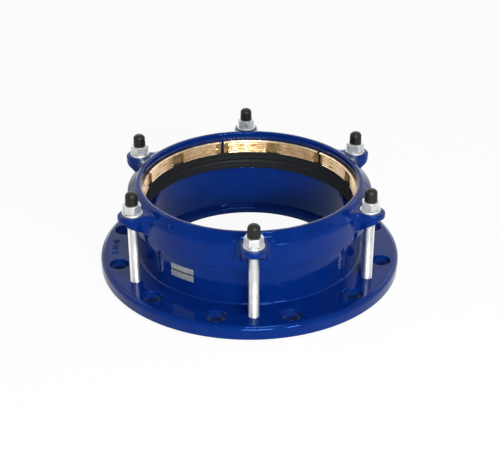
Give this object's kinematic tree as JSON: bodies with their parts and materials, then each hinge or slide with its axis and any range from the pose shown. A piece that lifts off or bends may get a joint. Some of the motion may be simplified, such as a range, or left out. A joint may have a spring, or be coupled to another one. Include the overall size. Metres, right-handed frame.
{
  "type": "flange adapter",
  "caption": "Restrained flange adapter for plain ended plastic pipe: drilled flange, rubber gasket, toothed brass grip segments and a gland ring drawn down by studs.",
  "frame": {"origin": "middle of the flange's sealing face", "axes": "+Z along the pipe axis, from the flange towards the pipe; -Y through the middle of a stud"},
  "size_m": [0.46, 0.46, 0.1693],
  "materials": {
    "blue_coating": "glossy fusion bonded epoxy on ductile iron",
    "gasket_rubber": "matt moulded EPDM",
    "grip_brass": "machined teeth, slightly dull",
    "zinc_steel": "zinc plated",
    "cap_plastic": "moulded polyethylene"
  },
  "bodies": {
    "base": {"flange_body": "blue_coating", "gasket": "gasket_rubber", "stud_1": "zinc_steel", "stud_2": "zinc_steel", "stud_3": "zinc_steel", "stud_4": "zinc_steel", "stud_5": "zinc_steel", "stud_6": "zinc_steel"},
    "gland": {"gland_ring": "blue_coating", "washer_1": "zinc_steel", "washer_2": "zinc_steel", "washer_3": "zinc_steel", "washer_4": "zinc_steel", "washer_5": "zinc_steel", "washer_6": "zinc_steel"},
    "grip_1": {"grip_segment_1": "grip_brass"},
    "grip_2": {"grip_segment_2": "grip_brass"},
    "grip_3": {"grip_segment_3": "grip_brass"},
    "grip_4": {"grip_segment_4": "grip_brass"},
    "grip_5": {"grip_segment_5": "grip_brass"},
    "grip_6": {"grip_segment_6": "grip_brass"},
    "nut_turner_1": {"nut_1": "zinc_steel"},
    "nut_turner_2": {"nut_2": "zinc_steel"},
    "nut_turner_3": {"nut_3": "zinc_steel"},
    "nut_turner_4": {"nut_4": "zinc_steel"},
    "nut_turner_5": {"nut_5": "zinc_steel"},
    "nut_turner_6": {"nut_6": "zinc_steel"},
    "cap_lift_1": {"cap_1": "cap_plastic"},
    "cap_lift_2": {"cap_2": "cap_plastic"},
    "cap_lift_3": {"cap_3": "cap_plastic"},
    "cap_lift_4": {"cap_4": "cap_plastic"},
    "cap_lift_5": {"cap_5": "cap_plastic"},
    "cap_lift_6": {"cap_6": "cap_plastic"}
  },
  "joints": [
    {"name": "gland_slide", "type": "slide", "parent": "base", "child": "gland", "axis": [0, 0, -1], "range_m": [0, 0.008], "deforming": ["gasket"]},
    {"name": "grip_slide_1", "type": "slide", "parent": "gland", "child": "grip_1", "axis": [-0.2594, 0.2658, 0.9285], "range_m": [0, 0.00269]},
    {"name": "grip_slide_2", "type": "slide", "parent": "gland", "child": "grip_2", "axis": [-0.3599, -0.0917, 0.9285], "range_m": [0, 0.00269]},
    {"name": "grip_slide_3", "type": "slide", "parent": "gland", "child": "grip_3", "axis": [-0.1005, -0.3575, 0.9285], "range_m": [0, 0.00269]},
    {"name": "grip_slide_4", "type": "slide", "parent": "gland", "child": "grip_4", "axis": [0.2594, -0.2658, 0.9285], "range_m": [0, 0.00269]},
    {"name": "grip_slide_5", "type": "slide", "parent": "gland", "child": "grip_5", "axis": [0.3599, 0.0917, 0.9285], "range_m": [0, 0.00269]},
    {"name": "grip_slide_6", "type": "slide", "parent": "gland", "child": "grip_6", "axis": [0.1005, 0.3575, 0.9285], "range_m": [0, 0.00269]},
    {"name": "nut_turn_1", "type": "hinge", "parent": "gland", "child": "nut_turner_1", "pos_m": [0, -0.197, 0.138], "axis": [0, 0, 1], "range_deg": [-1440, 0]},
    {"name": "nut_turn_2", "type": "hinge", "parent": "gland", "child": "nut_turner_2", "pos_m": [0.17061, -0.0985, 0.138], "axis": [0, 0, 1], "range_deg": [-1440, 0]},
    {"name": "nut_turn_3", "type": "hinge", "parent": "gland", "child": "nut_turner_3", "pos_m": [0.17061, 0.0985, 0.138], "axis": [0, 0, 1], "range_deg": [-1440, 0]},
    {"name": "nut_turn_4", "type": "hinge", "parent": "gland", "child": "nut_turner_4", "pos_m": [0, 0.197, 0.138], "axis": [0, 0, 1], "range_deg": [-1440, 0]},
    {"name": "nut_turn_5", "type": "hinge", "parent": "gland", "child": "nut_turner_5", "pos_m": [-0.17061, 0.0985, 0.138], "axis": [0, 0, 1], "range_deg": [-1440, 0]},
    {"name": "nut_turn_6", "type": "hinge", "parent": "gland", "child": "nut_turner_6", "pos_m": [-0.17061, -0.0985, 0.138], "axis": [0, 0, 1], "range_deg": [-1440, 0]},
    {"name": "cap_pull_1", "type": "slide", "parent": "base", "child": "cap_lift_1", "axis": [0, 0, 1], "range_m": [0, 0.03]},
    {"name": "cap_pull_2", "type": "slide", "parent": "base", "child": "cap_lift_2", "axis": [0, 0, 1], "range_m": [0, 0.03]},
    {"name": "cap_pull_3", "type": "slide", "parent": "base", "child": "cap_lift_3", "axis": [0, 0, 1], "range_m": [0, 0.03]},
    {"name": "cap_pull_4", "type": "slide", "parent": "base", "child": "cap_lift_4", "axis": [0, 0, 1], "range_m": [0, 0.03]},
    {"name": "cap_pull_5", "type": "slide", "parent": "base", "child": "cap_lift_5", "axis": [0, 0, 1], "range_m": [0, 0.03]},
    {"name": "cap_pull_6", "type": "slide", "parent": "base", "child": "cap_lift_6", "axis": [0, 0, 1], "range_m": [0, 0.03]}
  ],
  "couplings": [
    {"joint": "grip_slide_1", "follows": "gland_slide", "ratio": 0.33657},
    {"joint": "grip_slide_2", "follows": "gland_slide", "ratio": 0.33657},
    {"joint": "grip_slide_3", "follows": "gland_slide", "ratio": 0.33657},
    {"joint": "grip_slide_4", "follows": "gland_slide", "ratio": 0.33657},
    {"joint": "grip_slide_5", "follows": "gland_slide", "ratio": 0.33657},
    {"joint": "grip_slide_6", "follows": "gland_slide", "ratio": 0.33657},
    {"joint": "nut_turn_1", "follows": "gland_slide", "rad_per_m": -3141.6},
    {"joint": "nut_turn_2", "follows": "gland_slide", "rad_per_m": -3141.6},
    {"joint": "nut_turn_3", "follows": "gland_slide", "rad_per_m": -3141.6},
    {"joint": "nut_turn_4", "follows": "gland_slide", "rad_per_m": -3141.6},
    {"joint": "nut_turn_5", "follows": "gland_slide", "rad_per_m": -3141.6},
    {"joint": "nut_turn_6", "follows": "gland_slide", "rad_per_m": -3141.6}
  ]
}
